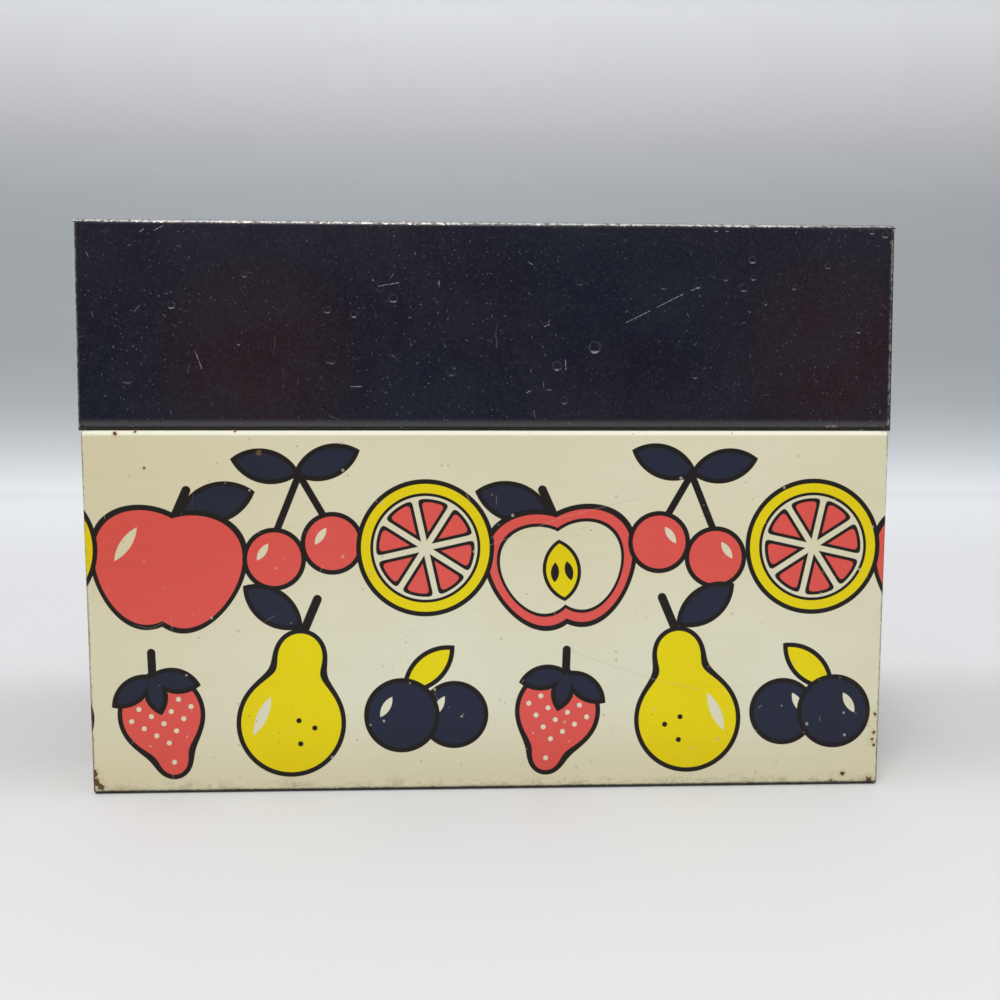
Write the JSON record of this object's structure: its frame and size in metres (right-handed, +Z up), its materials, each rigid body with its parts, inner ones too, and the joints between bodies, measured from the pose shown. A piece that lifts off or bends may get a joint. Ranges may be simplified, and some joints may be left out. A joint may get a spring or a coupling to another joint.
{
  "type": "recipe card box",
  "caption": "Hinged tinplate box for recipe cards: a printed body with a dark lid that lifts and tips back on a rear wire hinge.",
  "frame": {"origin": "centre of the base, on the surface that the box stands on", "axes": "+X to the right seen from the front, +Y towards the hinge at the back, +Z up"},
  "size_m": [0.1366, 0.092, 0.0958],
  "materials": {
    "printed_tin": "lithographed tinplate, semi-gloss, bare tin inside",
    "dark_enamel": "dark enamelled tinplate, semi-gloss, worn bare along its edges",
    "hinge_wire": "drawn steel wire"
  },
  "bodies": {
    "body": {"body_wrap": "printed_tin", "body_left_end": "printed_tin", "body_right_end": "printed_tin", "hinge_pin": "hinge_wire"},
    "lid": {"lid_wrap": "dark_enamel", "lid_left_end": "dark_enamel", "lid_right_end": "dark_enamel"}
  },
  "joints": [
    {"name": "lid_hinge", "type": "hinge", "parent": "body", "child": "lid", "pos_m": [0, 0.04495, 0.06225], "axis": [-1, 0, 0], "range_deg": [0, 110]}
  ]
}
